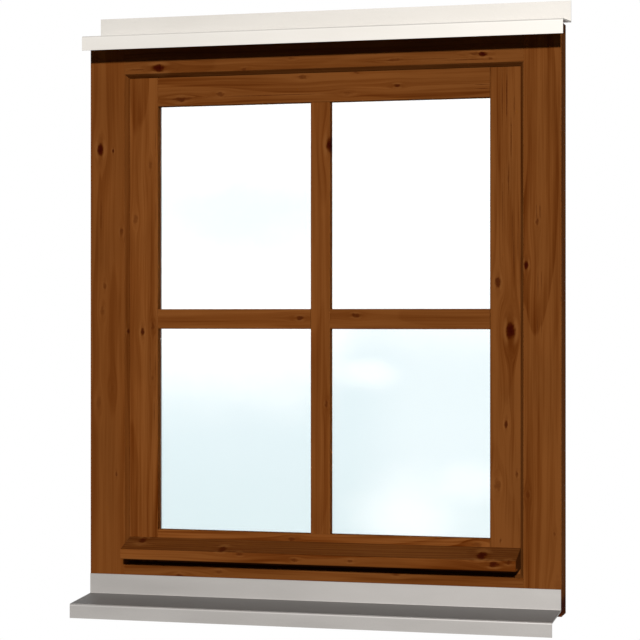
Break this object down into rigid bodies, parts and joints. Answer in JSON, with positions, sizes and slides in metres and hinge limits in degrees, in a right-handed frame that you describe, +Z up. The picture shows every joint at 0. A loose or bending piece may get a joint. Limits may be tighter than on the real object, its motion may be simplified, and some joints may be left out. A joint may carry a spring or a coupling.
{
  "type": "wooden casement window with glazing bars",
  "caption": "Stained pine casement window with a flanged frame, recessed sash, glazing bars, insulating glass, weather bar, and folded metal head and sill flashings.",
  "frame": {"origin": "centre of the back of the frame's bottom flange, in the plane of the wall's outer face", "axes": "+X right as seen from outside, +Y into the room, +Z up"},
  "size_m": [0.6987, 0.1955, 0.8674],
  "materials": {
    "stained_pine": "satin walnut-brown stain on knotty pine",
    "white_sheet": "satin off-white coat on sheet metal",
    "grey_sheet": "matt grey aluminium sheet",
    "clear_glass": "clear float glass",
    "spacer_metal": "mill aluminium",
    "seal_rubber": "dark brown rubber",
    "handle_metal": "satin anodised"
  },
  "bodies": {
    "root": {"frame_left_jamb": "stained_pine", "frame_right_jamb": "stained_pine", "frame_head": "stained_pine", "frame_bottom_rail": "stained_pine", "sash_left_stile": "stained_pine", "sash_right_stile": "stained_pine", "sash_top_rail": "stained_pine", "sash_bottom_rail": "stained_pine", "weather_bar": "stained_pine", "glazing_bar_upright": "stained_pine", "glazing_bar_left": "stained_pine", "glazing_bar_right": "stained_pine", "bead_left": "stained_pine", "bead_right": "stained_pine", "bead_top": "stained_pine", "bead_bottom": "stained_pine", "outer_pane": "clear_glass", "inner_pane": "clear_glass", "spacer_left": "spacer_metal", "spacer_right": "spacer_metal", "spacer_top": "spacer_metal", "spacer_bottom": "spacer_metal", "seal_left": "seal_rubber", "seal_right": "seal_rubber", "seal_top": "seal_rubber", "seal_bottom": "seal_rubber", "head_flashing": "white_sheet", "sill_flashing": "grey_sheet", "handle_rosette": "handle_metal", "handle_lever": "handle_metal", "upper_hinge": "handle_metal", "lower_hinge": "handle_metal"}
  },
  "joints": []
}
